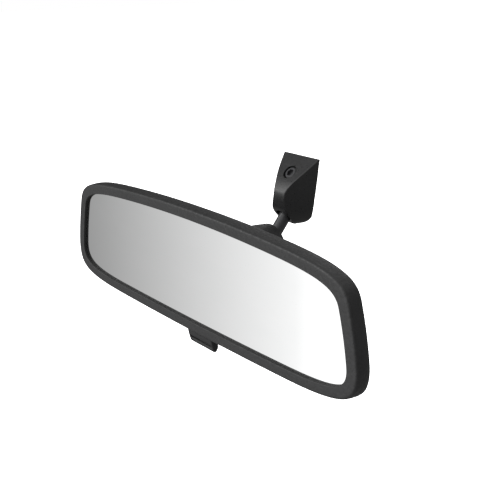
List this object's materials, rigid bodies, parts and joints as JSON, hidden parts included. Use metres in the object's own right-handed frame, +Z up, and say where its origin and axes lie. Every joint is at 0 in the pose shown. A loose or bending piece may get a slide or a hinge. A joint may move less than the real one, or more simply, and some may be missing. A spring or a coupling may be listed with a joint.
{
  "type": "interior rearview mirror",
  "caption": "Prismatic day/night mirror head in a black plastic case, hung on a double-ball stem from a wedge mount that clamps over a windscreen button.",
  "frame": {"origin": "on the mount's flat rear face, on the middle line, in the band between the windscreen button pocket and the ball socket's back plate", "axes": "+X across the mirror, to the right as the driver sees it; +Y out of the mount's rear face, towards the windscreen; +Z up"},
  "size_m": [0.249, 0.0775, 0.0957],
  "materials": {
    "grained_plastic": "fine moulded grain",
    "black_casting": "satin black powder coat",
    "black_steel": "satin black",
    "plated_steel": "zinc plated",
    "spring_steel": "oiled spring steel",
    "acetal": "natural acetal",
    "nylon": "glass-filled nylon",
    "silvered_glass": "polished, silvered on the back",
    "film": "matt adhesive film",
    "foam": "closed-cell foam"
  },
  "bodies": {
    "mount": {"mount_bracket": "black_casting", "mount_set_screw": "black_steel", "socket_back_plate": "plated_steel", "upper_spring_washer": "spring_steel"},
    "upper_cup": {"upper_seat_cup": "spring_steel"},
    "upper_liner": {"upper_ball_liner": "acetal"},
    "stem": {"upper_ball": "plated_steel", "stem_rod": "black_steel", "lower_ball": "plated_steel"},
    "lower_liner": {"lower_ball_liner": "acetal"},
    "lower_cup": {"lower_seat_cup": "spring_steel"},
    "carrier": {"lower_ball_spring": "spring_steel", "socket_ring": "plated_steel", "socket_housing": "nylon", "carrier_plate": "nylon", "carrier_rivet_left": "plated_steel", "carrier_rivet_right": "plated_steel"},
    "case": {"front_bezel": "grained_plastic", "rear_case": "grained_plastic", "mirror_glass": "silvered_glass", "backing_film": "film", "foam_pad_left": "foam", "foam_pad_right": "foam", "lever_pin": "plated_steel", "toggle_spring": "spring_steel", "tilt_pin_left": "plated_steel", "tilt_pin_right": "plated_steel"},
    "lever": {"day_night_lever": "grained_plastic"}
  },
  "joints": [
    {"name": "upper_ball_turn", "type": "hinge", "parent": "mount", "child": "upper_cup", "pos_m": [0, -0.0069, -0.00805], "axis": [0, 0.6412, 0.7674], "range_deg": [-15, 15]},
    {"name": "upper_ball_swing", "type": "hinge", "parent": "upper_cup", "child": "upper_liner", "pos_m": [0, -0.0069, -0.00805], "axis": [0, -0.7674, 0.6412], "range_deg": [-8, 8]},
    {"name": "upper_ball_nod", "type": "hinge", "parent": "upper_liner", "child": "stem", "pos_m": [0, -0.0069, -0.00805], "axis": [1, 0, 0], "range_deg": [-8, 8]},
    {"name": "lower_ball_turn", "type": "hinge", "parent": "stem", "child": "lower_liner", "pos_m": [0, -0.0295, -0.0351], "axis": [0, 0.6412, 0.7674], "range_deg": [-25, 25]},
    {"name": "lower_ball_swing", "type": "hinge", "parent": "lower_liner", "child": "lower_cup", "pos_m": [0, -0.0295, -0.0351], "axis": [0, -0.7674, 0.6412], "range_deg": [-12, 12]},
    {"name": "lower_ball_nod", "type": "hinge", "parent": "lower_cup", "child": "carrier", "pos_m": [0, -0.0295, -0.0351], "axis": [1, 0, 0], "range_deg": [-4, 14]},
    {"name": "case_tilt", "type": "hinge", "parent": "carrier", "child": "case", "pos_m": [0, -0.0585, -0.0138], "axis": [1, 0, 0], "range_deg": [0, 4]},
    {"name": "lever_flip", "type": "hinge", "parent": "case", "child": "lever", "pos_m": [0, -0.0665, -0.062], "axis": [1, 0, 0], "range_deg": [0, 38]}
  ],
  "couplings": [
    {"joint": "lever_flip", "follows": "case_tilt", "ratio": 9.5}
  ]
}
